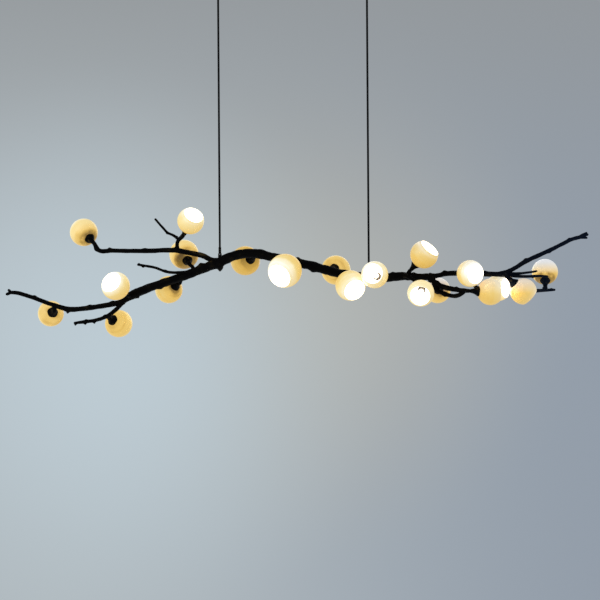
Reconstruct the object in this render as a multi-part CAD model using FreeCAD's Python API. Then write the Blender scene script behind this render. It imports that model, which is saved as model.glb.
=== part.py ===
"""Branch chandelier: a hollow cast branch with globe shades, hung on two gimballed rods.

Millimetres. +Z is up, +X runs along the branch to the viewer's right and +Y points
away from the viewer. The origin is the middle of the ceiling plate's top face, which
lies on the ceiling, halfway between the two rods.
"""
import FreeCAD, Part
import math
import os
from FreeCAD import Placement, Rotation, Vector

# ---------------------------------------------------------------- driving dimensions
FIT = 0.05                # radial clearance of a pin that turns in its bore
SEAT = 0.2                # clearance where a casting seats on a shade
SLACK = 0.3               # clearance round a lead inside a bore

# ceiling plate, its cover and the spacing of the two rods
ROD_SPACING = 500.0
COVER_END = 60.0          # how far the cover reaches past each rod
COVER_LENGTH = ROD_SPACING + 2 * COVER_END
COVER_WIDTH = 110.0
COVER_HEIGHT = 46.0
COVER_WALL = 1.5
COVER_CORNER = 12.0       # radius of the cover's upright corners
PLATE_GAP = 0.3           # between the plate's end flanges and the cover
PLATE_WIDTH = 88.0
PLATE_THICKNESS = 2.0
PLATE_FLANGE = 26.0       # depth of the turned-down ends
CEILING_HOLE_X = 400.0    # spacing of the ceiling screws along X
CEILING_HOLE_Y = 60.0     # and along Y
CEILING_HOLE_RADIUS = 2.75
SUPPLY_HOLE_RADIUS = 11.0
GROMMET_BORE_RADIUS = 7.0
GROMMET_LIP = 1.6

# machine screws, all of one size
SCREW_RADIUS = 2.0
SCREW_HEAD_RADIUS = 3.8
SCREW_HEAD_HEIGHT = 2.4
COVER_SCREW_Y = 28.0      # each end has a screw at plus and minus this
COVER_SCREW_Z = -14.0

# electrical pieces on the plate
DRIVER_SIZE = (150.0, 52.0, 24.0)
DRIVER_X = 112.0
DRIVER_EAR = 10.0
TERMINAL_SIZE = (46.0, 20.0, 17.0)
TERMINAL_X = -105.0
TERMINAL_Y = -18.0
EARTH_X = -165.0
LEAD_RADIUS = 2.6
LEAD_Y = 8.0

# gimbals at the tops of the rods
PIVOT_Z = -25.0
BRACKET_LENGTH = 64.0
BRACKET_WIDTH = 26.0
BRACKET_THICKNESS = 3.0
RING_RADIUS = 17.0
RING_BORE = 12.0
RING_HEIGHT = 8.0
EAR_GAP = 0.5             # between the ring and each bracket ear
TRUNNION_RADIUS = 2.5
SWAY_PIN_RADIUS = 2.0
EYE_WIDTH = 16.0
EYE_RADIUS = 6.0
COVER_ROD_HOLE = 9.0

# rods and the fittings at their feet
ROD_RADIUS = 3.5
ROD_BORE_RADIUS = 2.4
ROD_LEAD_RADIUS = 2.1
FERRULE_RADIUS = 4.6
FERRULE_LENGTH = 20.0
FERRULE_POCKET = 14.0
TONGUE_THICKNESS = 4.0
TONGUE_WIDTH = 7.6
LUG_RADIUS = 6.4
LUG_PIN_RADIUS = 1.5
LUG_HEIGHT = 9.0          # the lower pivot's height above the trunk
OPEN_PIVOT_GAP = 0.45     # round the pin in the right tongue, opened so that the linkage is a tree
STUD_RADIUS = 4.0
LUG_SEAT = 1.0            # how far a lug and a finial are let into the trunk
FINIAL_RADIUS = 11.5
FINIAL_LENGTH = 18.0

# the branch
WALL = 3.0                # wall of the hollow castings
SPUR_BORE_RADIUS = 3.0
SPUR_RADIUS = 6.4
KNUCKLE = 0.9             # how far the ball on each bend of a spur stands proud
LEAD_KNUCKLE = 0.1        # the same for a lead inside its spur
LEAD_IN = 3.0             # straight length where a limb meets its calyx
BALL_SIDE = Vector(0.3, 0.5, 0.8)   # no spur runs along this, so a ball's poles always lie across

# one light: the calyx that carries it, its shade, its lampholder and its bulb
CALYX_LENGTH = 24.0
CALYX_NECK_RADIUS = 7.0
CALYX_RIM_RADIUS = 18.0
SHADE_WALL = 2.5
HOLDER_STEM_RADIUS = 7.5
HOLDER_HEAD_RADIUS = 10.5
HOLDER_HEAD_START = 9.0
HOLDER_HEAD_LENGTH = 17.0
HOLDER_TAIL = 4.0
RING_OUTER_RADIUS = 13.0
BULB_RADIUS = 8.5
BULB_BASE_RADIUS = 6.0
BULB_BASE_DEPTH = 6.0
BULB_PROUD = 8.0          # how far a bulb's tip stands past the shade's rim

# shade sizes: globe radius and mouth radius
SHADE_SIZES = {
    "small": (44.0, 33.0),
    "medium": (46.5, 35.0),
    "large": (50.0, 37.0),
    "extra": (56.0, 41.0),
}

# the limbs: points on each centreline and the radius there
TRUNK = [
    (-554, 8, -1071, 13.4), (-480, 4, -1041, 13.8), (-392, 0, -1012, 14.4), (-305, 0, -980, 15.1),
    (-250, 0, -958, 15.8), (-188, 0, -935, 16.1), (-145, -4, -931, 15.1), (-82, -8, -942, 15.1),
    (19, -10, -965, 15.1), (86, -8, -983, 15.8), (153, -4, -1001, 15.1), (200, 0, -1009, 15.1),
    (250, 0, -1014, 15.5), (314, 0, -1014, 14.8), (355, 0, -1011, 14.1), (420, 0, -1014, 11.0),
    (455, 0, -1014, 11.8),
]
LEFT_LIMB = [
    (-554, 8, -1073, 10.8), (-585, 10, -1091, 9.7), (-645, 10, -1103, 8.7), (-709, 8, -1112, 8.1),
    (-756, 5, -1115, 8.7), (-821, 0, -1096, 7.4), (-885, -8, -1072, 6.7), (-937, -14, -1057, 6.4),
    (-959, -16, -1057, 5.4),
]
LOWER_LEFT_TWIG = [
    (-574, 8, -1086, 7.4), (-605, 4, -1120, 7.1), (-636, 0, -1141, 6.4), (-671, -4, -1152, 6.0),
    (-717, -10, -1158, 5.4), (-741, -14, -1161, 4.0),
]
UPPER_LEFT_LIMB = [
    (-257, 0, -959, 8.7), (-281, -3, -951, 8.7), (-304, -6, -939, 8.7), (-333, -8, -932, 8.7),
    (-394, -12, -920, 8.4), (-492, -16, -921, 7.7), (-607, -24, -919, 7.1), (-653, -30, -917, 7.4),
]
RIGHT_LIMB = [
    (449, 0, -1013, 10.1), (479, 0, -1010, 8.7), (503, 0, -1004, 8.7), (546, 2, -1002, 8.7),
    (636, 4, -1005, 8.7), (691, 5, -1007, 8.7), (718, 6, -1007, 8.7),
]
LONG_RIGHT_TWIG = [
    (702, 5, -1005, 7.7), (734, 8, -990, 7.4), (777, 14, -965, 7.4), (821, 20, -945, 7.1),
    (864, 26, -926, 7.1), (908, 32, -905, 6.7), (945, 36, -888, 6.7), (965, 38, -883, 6.4),
    (998, 42, -872, 4.4),
]
LOWER_RIGHT_LIMB = [
    (452, 0, -1016, 9.7), (483, -8, -1041, 8.7), (523, -28, -1055, 8.4), (546, -45, -1059, 8.1),
    (564, -59, -1061, 7.8),
]
LOWER_RIGHT_STRAND = [
    (468, -4, -1031, 7.4), (478, -6, -1059, 7.4), (501, -14, -1071, 7.4), (534, -32, -1079, 7.1),
    (552, -48, -1073, 7.1), (566, -59, -1063, 6.0),
]
TOP_TWIG = [
    (-388, -30, -880, 4.4), (-403, -34, -870, 4.0), (-423, -38, -860, 3.7), (-434, -42, -848, 3.7),
    (-463, -50, -814, 3.0),
]
MIDDLE_LEFT_TWIG = [
    (-344, 0, -991, 5.4), (-376, -18, -993, 5.0), (-405, -24, -994, 4.7), (-428, -26, -991, 4.7),
    (-462, -26, -978, 4.4), (-503, -24, -970, 4.4), (-526, -22, -966, 3.7),
]
UPPER_SIDE_TWIG = [(709, 4, -1004, 5.0), (760, -3, -1004, 4.2), (787, -8, -1001, 4.0), (815, -12, -997, 3.4)]
LOWER_SIDE_TWIG = [(703, 1, -1010, 5.4), (772, -5, -1015, 5.0), (829, -11, -1014, 4.4), (851, -12, -1016, 3.7)]
BACK_TWIG = [
    (712, 6, -1009, 6.4), (738, 28, -1029, 6.4), (780, 52, -1053, 6.4), (815, 42, -1062, 6.4),
    (850, 28, -1061, 5.4), (881, 20, -1060, 4.0),
]

# the lights: shade centre, the way its mouth faces (degrees round from -Y towards +X, then
# up), shade size, the limb that carries it and the route of its spur before it meets the calyx;
# with no route, the limb itself ends in the calyx
LIGHTS = [
    ((-710, 22, -855), -140, 31, "medium", "upper_left_limb", []),
    ((-341, -81, -825), 31, 39, "small", "upper_left_limb", [(-392, -12, -920), (-388, -26, -889)]),
    ((-377, 76, -930), -159, 28, "large", "trunk", [(-337, 0, -991), (-344, 6, -974)]),
    ((-590, -80, -1038), -25, 25, "medium", "trunk", [(-546, 7, -1068)]),
    ((-834, 80, -1129), -161, -6, "small", "left_limb", [(-806, 1, -1101)]),
    ((-602, 80, -1165), 158, -17, "medium", "lower_left_twig", [(-625, 2, -1134)]),
    ((-429, 70, -1050), -144, -17, "medium", "trunk", [(-381, 0, -1009)]),
    ((-168, 82, -953), -156, -6, "large", "trunk", [(-149, -4, -932)]),
    ((-31, -90, -992), -34, -28, "extra", "trunk", [(11, -10, -962)]),
    ((142, 92, -987), 171, -3, "large", "trunk", [(129, -6, -995)]),
    ((185, -88, -1042), 25, -28, "large", "trunk", [(160, -4, -1002)]),
    ((262, -140, -1008), -16, 7, "small", "trunk", [(301, 0, -1014), (291, -36, -1016)]),
    ((433, -38, -940), 55, 44, "medium", "trunk", [(378, 0, -1012)]),
    ((415, -104, -1069), -10, -18, "small", "trunk",
     [(361, 0, -1011), (375, -18, -1010), (405, -31, -1030)]),
    ((488, 76, -1059), 177, -6, "small", "lower_right_limb", [(485, -9, -1042)]),
    ((580, -84, -1005), 29, -3, "small", "right_limb", [(536, 1, -1002)]),
    ((650, -58, -1066), 98, -3, "small", "lower_right_limb", []),
    ((689, 38, -1053), 55, 1, "small", "right_limb",
     [(604, 3, -1004), (605, 36, -1014), (612, 68, -1036), (622, 82, -1050)]),
    ((767, -12, -1065), 101, -40, "small", "right_limb", [(704, 5, -1007), (708, -12, -1010)]),
    ((857, 86, -998), 171, 48, "small", "back_twig", [(844, 30, -1061)]),
]

# ---------------------------------------------------------------- worked-out places
COVER_FLOOR = -COVER_HEIGHT + COVER_WALL
PLATE_LENGTH = COVER_LENGTH - 2 * COVER_WALL - 2 * PLATE_GAP
BRACKET_TOP = -PLATE_THICKNESS
SIDES = {"left": -ROD_SPACING / 2, "right": ROD_SPACING / 2}


def point_on(route, x):
    """Centre and radius of a limb where its centreline passes a given X."""
    for (x0, y0, z0, r0), (x1, y1, z1, r1) in zip(route, route[1:]):
        if min(x0, x1) <= x <= max(x0, x1):
            part = (x - x0) / (x1 - x0)
            return Vector(x, y0 + part * (y1 - y0), z0 + part * (z1 - z0)), r0 + part * (r1 - r0)
    raise ValueError("the limb doesn't reach that X")


def cylinder(radius, start, end):
    """A round bar between two points."""
    along = Vector(end) - Vector(start)
    return Part.makeCylinder(radius, along.Length, Vector(start), along)


def block(size, low):
    """An upright box with its lowest corner at low."""
    return Part.makeBox(size[0], size[1], size[2], Vector(low))


def turned(profile):
    """A solid turned about the Z axis from (radius, height) corners."""
    corners = [Vector(radius, 0, height) for radius, height in profile]
    face = Part.Face(Part.makePolygon(corners + corners[:1]))
    return face.revolve(Vector(0, 0, 0), Vector(0, 0, 1), 360)


def fuse(first, *others):
    """One solid from several that overlap."""
    return first.multiFuse(list(others)).removeSplitter()


def limb(route, inset=0.0, stop_short=0.0):
    """A tapered round limb: rings square to the route, joined by ruled faces."""
    centres = [Vector(*row[:3]) for row in route]
    centres[-1] = centres[-1] + (centres[-2] - centres[-1]).normalize() * stop_short
    chord = centres[-1] - centres[0]
    reach = [abs(chord.x), abs(chord.y), abs(chord.z)]
    side = [Vector(1, 0, 0), Vector(0, 1, 0), Vector(0, 0, 1)][reach.index(min(reach))]
    rings = []
    for index, centre in enumerate(centres):
        before = centres[max(index - 1, 0)]
        after = centres[min(index + 1, len(centres) - 1)]
        along = (after - before).normalize()
        across = along.cross(side).normalize()
        ring = Part.Wire(Part.Circle(Vector(), Vector(0, 0, 1), route[index][3] - inset).toShape())
        ring.Placement = Placement(centre, Rotation(across, along.cross(across), along, "ZXY"))
        rings.append(ring)
    return Part.makeLoft(rings, True, True)


def save(name, solids):
    """Write one node from one solid or from a group of separate solids."""
    solids = [solid for shape in solids for solid in shape.Solids]
    shape = solids[0] if len(solids) == 1 else Part.makeCompound(solids)
    bad = [index for index, solid in enumerate(solids) if not solid.isValid()]
    print(f"{name}: {len(solids)} solids, {shape.Volume:.0f} mm3, {'BAD ' + str(bad) if bad else 'valid'}")
    shape.exportStep(f"parts/{name}.step")


# ---------------------------------------------------------------- ceiling plate and cover
def screw(head_seat, direction, length):
    """A pan-head machine screw: head_seat is under its head, direction points along its shank."""
    seat = Vector(*head_seat)
    along = Vector(*direction)
    head = Part.makeCylinder(SCREW_HEAD_RADIUS, SCREW_HEAD_HEIGHT, seat, along * -1)
    shank = Part.makeCylinder(SCREW_RADIUS, length, seat, along)
    slot = Part.makeBox(1.0, 2.4 * SCREW_HEAD_RADIUS, 1.0, Vector(-0.5, -1.2 * SCREW_HEAD_RADIUS, -0.5))
    slot.Placement = Placement(seat - along * SCREW_HEAD_HEIGHT, Rotation(Vector(0, 0, 1), along))
    return fuse(head, shank).cut(slot)


def plate_screw_places():
    """Where the screws under the plate go: two in each bracket and two in the driver's ears."""
    places = []
    for x in SIDES.values():
        for sign in (-1, 1):
            places.append((x + sign * (BRACKET_LENGTH / 2 - 6), BRACKET_THICKNESS))
    for sign in (-1, 1):
        places.append((DRIVER_X + sign * (DRIVER_SIZE[0] / 2 + DRIVER_EAR / 2), BRACKET_THICKNESS))
    return places


def cover_screw_places():
    """The end and Y of each cover screw."""
    return [(end, sign * COVER_SCREW_Y) for end in (-1, 1) for sign in (-1, 1)]


def ceiling_plate():
    """The steel plate on the ceiling, with its two ends turned down."""
    half = PLATE_LENGTH / 2
    plate = block((PLATE_LENGTH, PLATE_WIDTH, PLATE_THICKNESS), (-half, -PLATE_WIDTH / 2, -PLATE_THICKNESS))
    for end in (-1, 1):
        x = half - PLATE_THICKNESS if end > 0 else -half
        low = (x, -PLATE_WIDTH / 2, -PLATE_FLANGE)
        plate = fuse(plate, block((PLATE_THICKNESS, PLATE_WIDTH, PLATE_FLANGE), low))
    holes = [cylinder(SUPPLY_HOLE_RADIUS, (0, 0, 1), (0, 0, -PLATE_THICKNESS - 1))]
    for x in (-CEILING_HOLE_X / 2, CEILING_HOLE_X / 2):
        for y in (-CEILING_HOLE_Y / 2, CEILING_HOLE_Y / 2):
            holes.append(cylinder(CEILING_HOLE_RADIUS, (x, y, 1), (x, y, -PLATE_THICKNESS - 1)))
    for x, _ in plate_screw_places():
        holes.append(cylinder(SCREW_RADIUS, (x, 0, 1), (x, 0, -PLATE_THICKNESS - 1)))
    holes.append(cylinder(SCREW_RADIUS, (EARTH_X, 0, 1), (EARTH_X, 0, -PLATE_THICKNESS - 1)))
    for end, y in cover_screw_places():
        holes.append(cylinder(SCREW_RADIUS, (end * (half - 9), y, COVER_SCREW_Z), (end * (half + 1), y, COVER_SCREW_Z)))
    return plate.cut(Part.makeCompound(holes))


def rounded_box(length, width, low_z, high_z, corner):
    """An upright block with rounded upright edges, centred on the origin."""
    box = block((length, width, high_z - low_z), (-length / 2, -width / 2, low_z))
    uprights = [edge for edge in box.Edges if abs(edge.tangentAt(edge.FirstParameter).z) > 0.9]
    return box.makeFillet(corner, uprights)


def canopy_cover():
    """The long cover, open at the ceiling, with a hole for each rod."""
    outer = rounded_box(COVER_LENGTH, COVER_WIDTH, -COVER_HEIGHT, 0, COVER_CORNER)
    inner = rounded_box(COVER_LENGTH - 2 * COVER_WALL, COVER_WIDTH - 2 * COVER_WALL,
                        COVER_FLOOR, 1, COVER_CORNER - COVER_WALL)
    holes = []
    for x in SIDES.values():
        holes.append(cylinder(COVER_ROD_HOLE, (x, 0, COVER_FLOOR + 1), (x, 0, -COVER_HEIGHT - 1)))
    for end, y in cover_screw_places():
        x = end * COVER_LENGTH / 2
        holes.append(cylinder(SCREW_RADIUS + SEAT, (x - end * 5, y, COVER_SCREW_Z), (x + end, y, COVER_SCREW_Z)))
    return outer.cut(inner).cut(Part.makeCompound(holes))


def cable_grommet():
    """A rubber grommet in the plate's supply hole, with its lip under the plate."""
    waist = SUPPLY_HOLE_RADIUS - FIT
    lip = SUPPLY_HOLE_RADIUS + GROMMET_LIP
    foot = -PLATE_THICKNESS - GROMMET_LIP
    profile = [
        (GROMMET_BORE_RADIUS, 0), (waist, 0), (waist, -PLATE_THICKNESS),
        (lip, -PLATE_THICKNESS), (lip, foot), (GROMMET_BORE_RADIUS, foot),
    ]
    return turned(profile)


def led_driver():
    """The driver's case, with a drilled ear at each end."""
    length, width, height = DRIVER_SIZE
    x = DRIVER_X - length / 2
    case = block(DRIVER_SIZE, (x, -width / 2, -PLATE_THICKNESS - height))
    ears = block((length + 2 * DRIVER_EAR, 18, BRACKET_THICKNESS),
                 (x - DRIVER_EAR, -9, -PLATE_THICKNESS - BRACKET_THICKNESS))
    uprights = [edge for edge in case.Edges if abs(edge.tangentAt(edge.FirstParameter).z) > 0.9]
    driver = fuse(case.makeFillet(3.0, uprights), ears)
    for sign in (-1, 1):
        hole_x = DRIVER_X + sign * (length / 2 + DRIVER_EAR / 2)
        driver = driver.cut(cylinder(SCREW_RADIUS, (hole_x, 0, 0), (hole_x, 0, -20)))
    return driver


def terminal_block():
    """Three screw terminals in a row, on the plate beside the supply hole."""
    length, width, height = TERMINAL_SIZE
    low = (TERMINAL_X - length / 2, TERMINAL_Y - width / 2, -PLATE_THICKNESS - height)
    far_y = low[1] + width
    body = block(TERMINAL_SIZE, low)
    pitch = length / 3
    for index in range(3):
        x = low[0] + (index + 0.5) * pitch
        body = body.cut(cylinder(2.6, (x, TERMINAL_Y, low[2] - 1), (x, TERMINAL_Y, low[2] + 6)))
        body = body.cut(cylinder(2.2, (x, low[1] - 1, low[2] + 9), (x, far_y + 1, low[2] + 9)))
    for index in range(1, 3):
        body = body.cut(block((1.2, width + 2, 5), (low[0] + index * pitch - 0.6, low[1] - 1, low[2] - 1)))
    return body


def earth_stud():
    """A stud through the plate and the nut that holds the earth ring."""
    stud = cylinder(SCREW_RADIUS, (EARTH_X, 0, 0), (EARTH_X, 0, -PLATE_THICKNESS - 12))
    corners = [Vector(EARTH_X + 4.2 * math.cos(math.pi / 3 * k), 4.2 * math.sin(math.pi / 3 * k),
                      -PLATE_THICKNESS) for k in range(7)]
    nut = Part.Face(Part.makePolygon(corners)).extrude(Vector(0, 0, -3.4))
    return [fuse(stud, nut)]


def canopy_leads():
    """The two low-voltage leads from the driver's ends to the brackets."""
    z = -PLATE_THICKNESS - DRIVER_SIZE[2] + 8
    leads = []
    for end, x in ((-1, SIDES["left"]), (1, SIDES["right"])):
        start = DRIVER_X + end * DRIVER_SIZE[0] / 2
        finish = x - end * (RING_RADIUS + EAR_GAP + BRACKET_THICKNESS)
        leads.append(cylinder(LEAD_RADIUS, (start, LEAD_Y, z), (finish, LEAD_Y, z)))
    return leads


# ---------------------------------------------------------------- gimbals
def swivel_bracket(x):
    """A channel under the plate whose two ears carry the ring's trunnions."""
    base = block((BRACKET_LENGTH, BRACKET_WIDTH, BRACKET_THICKNESS),
                 (x - BRACKET_LENGTH / 2, -BRACKET_WIDTH / 2, BRACKET_TOP - BRACKET_THICKNESS))
    bracket = base
    ear_height = BRACKET_TOP - PIVOT_Z + 6
    inner = RING_RADIUS + EAR_GAP
    for low_x in (x - inner - BRACKET_THICKNESS, x + inner):
        ear = block((BRACKET_THICKNESS, BRACKET_WIDTH, ear_height), (low_x, -BRACKET_WIDTH / 2, PIVOT_Z - 6))
        bracket = fuse(bracket, ear)
    bracket = bracket.cut(cylinder(TRUNNION_RADIUS + FIT, (x - 40, 0, PIVOT_Z), (x + 40, 0, PIVOT_Z)))
    for sign in (-1, 1):
        hole_x = x + sign * (BRACKET_LENGTH / 2 - 6)
        bracket = bracket.cut(cylinder(SCREW_RADIUS, (hole_x, 0, 0), (hole_x, 0, BRACKET_TOP - BRACKET_THICKNESS - 1)))
    return bracket


def gimbal_ring(x):
    """The ring between bracket and rod: trunnions along X, bores for the sway pin along Y."""
    ring = cylinder(RING_RADIUS, (x, 0, PIVOT_Z - RING_HEIGHT / 2), (x, 0, PIVOT_Z + RING_HEIGHT / 2))
    reach = RING_RADIUS + EAR_GAP + BRACKET_THICKNESS + 1.5
    ring = fuse(ring, cylinder(TRUNNION_RADIUS, (x - reach, 0, PIVOT_Z), (x + reach, 0, PIVOT_Z)))
    ring = ring.cut(cylinder(RING_BORE, (x, 0, PIVOT_Z - RING_HEIGHT), (x, 0, PIVOT_Z + RING_HEIGHT)))
    return ring.cut(cylinder(SWAY_PIN_RADIUS, (x, -RING_RADIUS - 1, PIVOT_Z), (x, RING_RADIUS + 1, PIVOT_Z)))


def sway_pin(x):
    """The pin across the ring that the rod's eye turns on."""
    half = math.sqrt(RING_RADIUS ** 2 - SWAY_PIN_RADIUS ** 2)
    return cylinder(SWAY_PIN_RADIUS, (x, -half, PIVOT_Z), (x, half, PIVOT_Z))


def rod_eye(x):
    """The eye on top of a rod: a barrel along Y with a socket below for the tube."""
    barrel = cylinder(EYE_RADIUS, (x, -EYE_WIDTH / 2, PIVOT_Z), (x, EYE_WIDTH / 2, PIVOT_Z))
    socket = cylinder(EYE_RADIUS - 0.6, (x, 0, PIVOT_Z), (x, 0, PIVOT_Z - 16))
    eye = fuse(barrel, socket)
    eye = eye.cut(cylinder(SWAY_PIN_RADIUS + FIT, (x, -20, PIVOT_Z), (x, 20, PIVOT_Z)))
    return eye.cut(cylinder(ROD_RADIUS, (x, 0, PIVOT_Z - 8), (x, 0, PIVOT_Z - 20)))


# ---------------------------------------------------------------- rods and lower fittings
def lower_pivot(x):
    """The pivot over the trunk where a rod's tongue meets its lug."""
    centre, radius = point_on(TRUNK, x)
    return centre.z + radius + LUG_HEIGHT


def ferrule_foot(x):
    """The height of a ferrule's lower face, a little over its pivot."""
    return lower_pivot(x) + LUG_PIN_RADIUS + 2.0


def rod_tube(x):
    """A rod's tube, from its eye down into its ferrule."""
    top = PIVOT_Z - 8
    foot = ferrule_foot(x) + FERRULE_LENGTH - FERRULE_POCKET
    return cylinder(ROD_RADIUS, (x, 0, top), (x, 0, foot)).cut(
        cylinder(ROD_BORE_RADIUS, (x, 0, top + 1), (x, 0, foot - 1)))


def rod_lead(x):
    """The lead inside a rod's tube."""
    foot = ferrule_foot(x) + FERRULE_LENGTH - FERRULE_POCKET
    return cylinder(ROD_LEAD_RADIUS, (x, 0, PIVOT_Z - 9), (x, 0, foot))


def rod_ferrule(x, gap):
    """The ferrule on a rod's foot, with the flat tongue that the lower pin passes through."""
    foot = ferrule_foot(x)
    pivot = lower_pivot(x)
    body = cylinder(FERRULE_RADIUS, (x, 0, foot), (x, 0, foot + FERRULE_LENGTH))
    body = body.cut(cylinder(ROD_RADIUS, (x, 0, foot + FERRULE_LENGTH - FERRULE_POCKET),
                             (x, 0, foot + FERRULE_LENGTH + 1)))
    half = TONGUE_THICKNESS / 2
    tongue = block((TONGUE_WIDTH, TONGUE_THICKNESS, foot - pivot), (x - TONGUE_WIDTH / 2, -half, pivot))
    nose = cylinder(TONGUE_WIDTH / 2, (x, -half, pivot), (x, half, pivot))
    bore = cylinder(LUG_PIN_RADIUS + gap, (x, -10, pivot), (x, 10, pivot))
    return fuse(body, tongue, nose).cut(bore)


def hanger_lug(x):
    """A slotted lug on a stud through the trunk; its two cheeks carry the lower pin."""
    pivot = lower_pivot(x)
    centre, radius = point_on(TRUNK, x)
    seat = centre.z + radius - LUG_SEAT
    lug = cylinder(LUG_RADIUS, (x, 0, seat), (x, 0, pivot + LUG_PIN_RADIUS + 1.5))
    slot_floor = pivot - TONGUE_WIDTH / 2 - 0.6
    slot = block((30, TONGUE_THICKNESS + 0.8, 30), (x - 15, -TONGUE_THICKNESS / 2 - 0.4, slot_floor))
    lug = lug.cut(slot)
    stud = cylinder(STUD_RADIUS, (x, 0, seat + 2), (x, 0, centre.z - radius - 8))
    bore = cylinder(LUG_PIN_RADIUS, (x, -20, pivot), (x, 20, pivot))
    return fuse(lug, stud).cut(bore)


def lug_pin(x):
    """The pin through a lug's cheeks and the rod's tongue."""
    pivot = lower_pivot(x)
    half = LUG_RADIUS + 0.8
    return cylinder(LUG_PIN_RADIUS, (x, -half, pivot), (x, half, pivot))


def finial_nut(x):
    """The pointed nut under the trunk that holds a lug's stud."""
    centre, radius = point_on(TRUNK, x)
    top = centre.z - radius + LUG_SEAT
    profile = [
        (0, top), (FINIAL_RADIUS, top), (FINIAL_RADIUS, top - 0.25 * FINIAL_LENGTH),
        (0.75 * FINIAL_RADIUS, top - 0.6 * FINIAL_LENGTH), (2.0, top - FINIAL_LENGTH), (0, top - FINIAL_LENGTH),
    ]
    nut = turned(profile)
    nut.translate(Vector(x, 0, 0))
    return nut.cut(cylinder(STUD_RADIUS, (x, 0, top + 1), (x, 0, centre.z - radius - 8)))


# ---------------------------------------------------------------- one light, its axis up +Z
def on_light(shape, light):
    """Move a piece made about the origin, mouth up +Z, to its light's place and slant."""
    centre, around, up, _, _, _ = light
    shape = shape.copy()
    shape.Placement = Placement(Vector(*centre), Rotation(Vector(0, 0, 1), mouth_axis(around, up)))
    return shape


def mouth_axis(around, up):
    """Unit vector of the way that a shade's mouth faces."""
    level = math.cos(math.radians(up))
    around = math.radians(around)
    return Vector(math.sin(around) * level, -math.cos(around) * level, math.sin(math.radians(up)))


def mouth_height(size):
    """Height of a shade's rim over its centre."""
    radius, mouth = SHADE_SIZES[size]
    return math.sqrt(radius ** 2 - mouth ** 2)


def shade(size):
    """An open-mouthed globe with a small hole at its base for the lampholder."""
    radius, _ = SHADE_SIZES[size]
    globe = Part.makeSphere(radius).cut(Part.makeSphere(radius - SHADE_WALL))
    rim = mouth_height(size)
    above = block((4 * radius, 4 * radius, radius), (-2 * radius, -2 * radius, rim))
    hole = cylinder(HOLDER_STEM_RADIUS + SEAT, (0, 0, 0), (0, 0, -radius - 1))
    return globe.cut(above).cut(hole)


def calyx(size):
    """The flared cup that the globe sits in, bored for the lead and the lampholder's stem."""
    radius, _ = SHADE_SIZES[size]
    rim = -math.sqrt(radius ** 2 - CALYX_RIM_RADIUS ** 2)
    profile = [
        (0, -radius - CALYX_LENGTH), (CALYX_NECK_RADIUS, -radius - CALYX_LENGTH),
        (CALYX_NECK_RADIUS + 1.5, -radius - 0.6 * CALYX_LENGTH),
        (CALYX_NECK_RADIUS + 5.5, -radius - 0.25 * CALYX_LENGTH),
        (CALYX_RIM_RADIUS, rim), (0, rim),
    ]
    cup = turned(profile).cut(Part.makeSphere(radius + SEAT))
    cup = cup.cut(cylinder(SPUR_BORE_RADIUS, (0, 0, -radius - CALYX_LENGTH - 1), (0, 0, -radius)))
    return cup.cut(cylinder(HOLDER_STEM_RADIUS, (0, 0, -radius - HOLDER_TAIL), (0, 0, 0)))


def lampholder(size):
    """The holder: a stem that passes through the shade's base, and a round head with a socket."""
    radius, _ = SHADE_SIZES[size]
    head = -radius + HOLDER_HEAD_START
    stem = cylinder(HOLDER_STEM_RADIUS, (0, 0, -radius - HOLDER_TAIL), (0, 0, head + 1))
    body = cylinder(HOLDER_HEAD_RADIUS, (0, 0, head), (0, 0, head + HOLDER_HEAD_LENGTH))
    socket_floor = head + HOLDER_HEAD_LENGTH - BULB_BASE_DEPTH
    socket = cylinder(BULB_BASE_RADIUS, (0, 0, socket_floor), (0, 0, head + HOLDER_HEAD_LENGTH + 1))
    return fuse(stem, body).cut(socket)


def retaining_ring(size):
    """The ring that the holder's head presses on the inside of the shade's base."""
    radius, _ = SHADE_SIZES[size]
    top = -radius + HOLDER_HEAD_START
    inner = radius - SHADE_WALL - FIT
    blank = cylinder(RING_OUTER_RADIUS, (0, 0, -radius), (0, 0, top))
    return blank.common(Part.makeSphere(inner)).cut(
        cylinder(HOLDER_STEM_RADIUS + FIT, (0, 0, -radius - 1), (0, 0, 0)))


def bulb(size):
    """A slim frosted capsule with a round tip, its base in the holder's socket."""
    radius, _ = SHADE_SIZES[size]
    foot = -radius + HOLDER_HEAD_START + HOLDER_HEAD_LENGTH
    tip = mouth_height(size) + BULB_PROUD
    heel = foot - BULB_BASE_DEPTH
    shoulder = tip - BULB_RADIUS
    corners = [(0, heel), (BULB_BASE_RADIUS, heel), (BULB_BASE_RADIUS, foot), (BULB_RADIUS, foot),
               (BULB_RADIUS, shoulder)]
    corners = [Vector(radius, 0, height) for radius, height in corners]
    slant = BULB_RADIUS * math.sqrt(0.5)
    dome = Part.Arc(corners[-1], Vector(slant, 0, shoulder + slant), Vector(0, 0, tip)).toShape()
    sides = Part.makePolygon(corners).Edges
    axis = Part.LineSegment(Vector(0, 0, tip), corners[0]).toShape()
    face = Part.Face(Part.Wire(sides + [dome, axis]))
    return face.revolve(Vector(0, 0, 0), Vector(0, 0, 1), 360)


def calyx_back(light):
    """The point where a light's spur meets the back of its calyx."""
    centre, around, up, size, _, _ = light
    return Vector(*centre) - mouth_axis(around, up) * (SHADE_SIZES[size][0] + CALYX_LENGTH)


def calyx_end(light):
    """The last two rings of whatever carries a calyx, square to the calyx's back."""
    back = calyx_back(light)
    lead_in = back - mouth_axis(light[1], light[2]) * LEAD_IN
    return [(*lead_in, CALYX_NECK_RADIUS - SEAT), (*back, CALYX_NECK_RADIUS)]


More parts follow.
